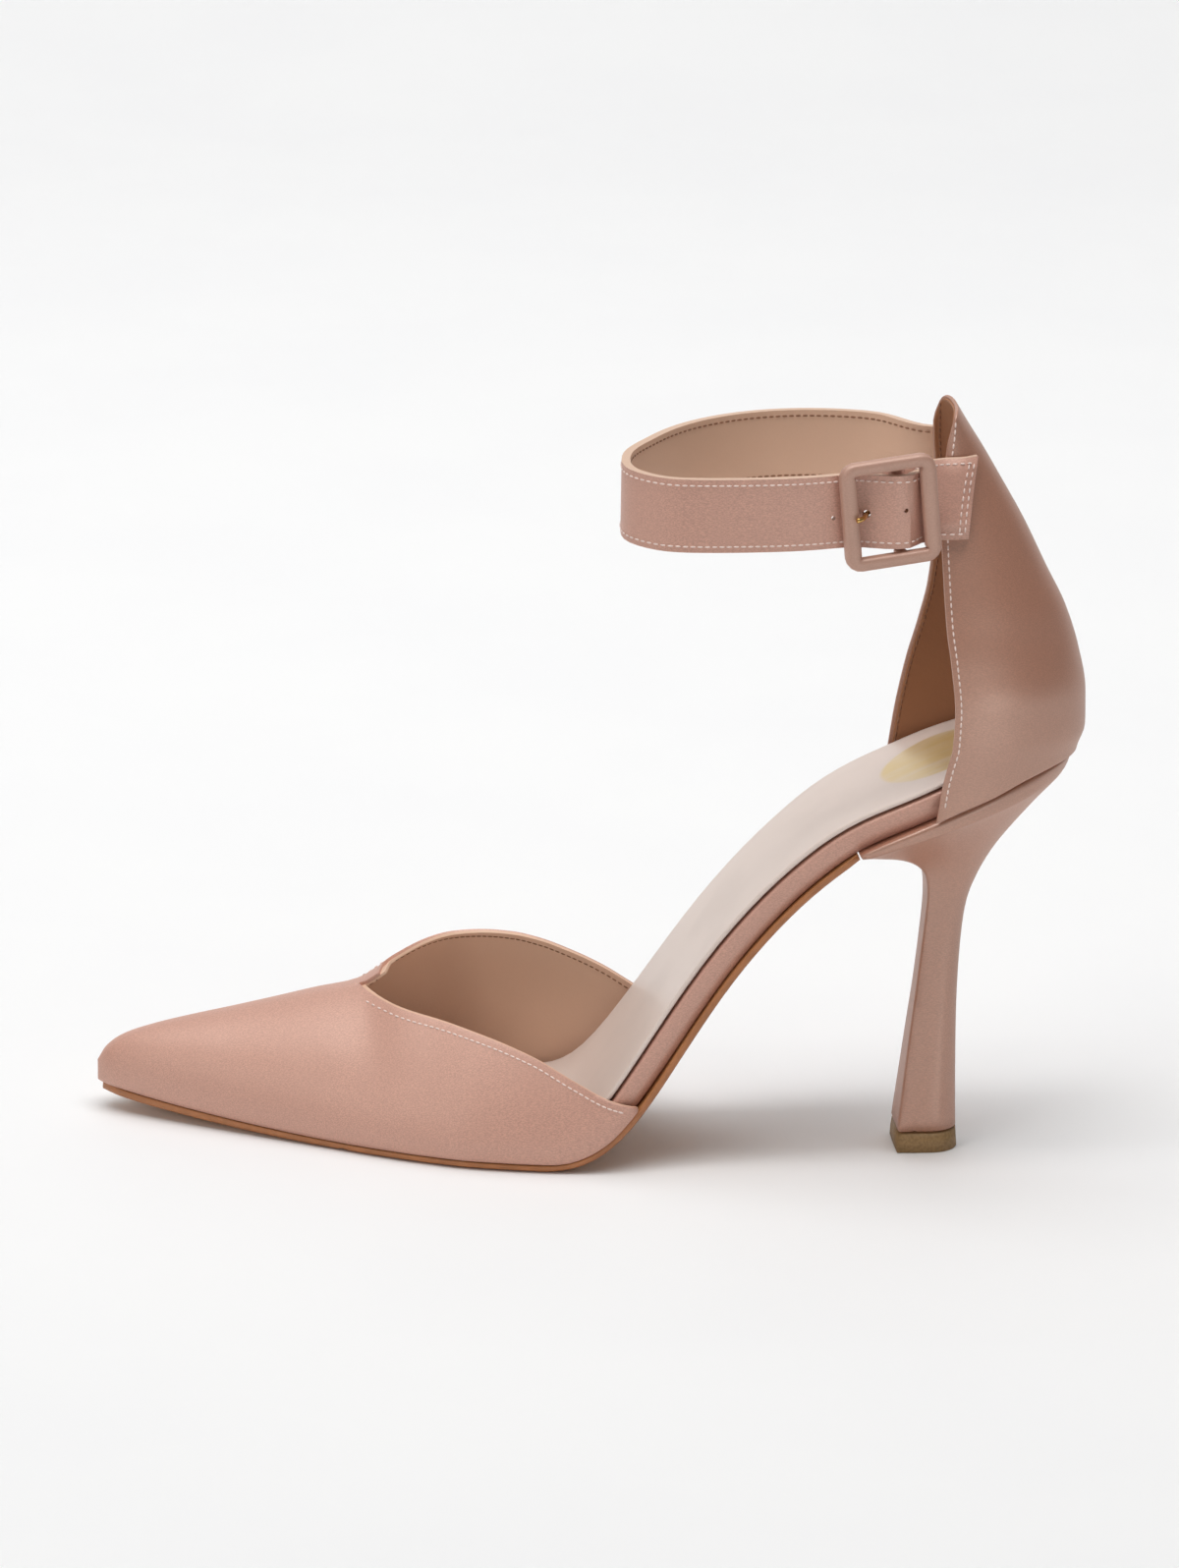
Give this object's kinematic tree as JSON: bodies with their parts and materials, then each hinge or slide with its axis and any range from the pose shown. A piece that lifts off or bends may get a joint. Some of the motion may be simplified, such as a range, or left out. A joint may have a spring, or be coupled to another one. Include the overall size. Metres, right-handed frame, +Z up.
{
  "type": "high-heeled pump",
  "caption": "Satin pump with a pointed toe, open waist, closed back quarter, slim high heel and a buckled ankle strap.",
  "frame": {"origin": "on the floor, at the middle of the top lift's underside", "axes": "+X along the heel's own axis towards the toe, +Y to the wearer's left, which is this left shoe's outer side, +Z up"},
  "size_m": [0.2321, 0.0847, 0.1825],
  "materials": {
    "satin": "satin",
    "sock_leather": "smooth",
    "sole_leather": "matte",
    "lift_rubber": "matte",
    "prong_metal": "polished",
    "lining": "matte",
    "thread": "matte"
  },
  "bodies": {
    "root": {"outsole": "sole_leather", "insole_board": "satin", "insole_sock": "sock_leather", "vamp": "satin", "counter": "satin", "heel_block": "satin", "top_lift": "lift_rubber", "ankle_strap": "satin", "buckle_strap": "satin", "buckle_frame": "satin", "buckle_prong": "prong_metal"}
  },
  "joints": []
}
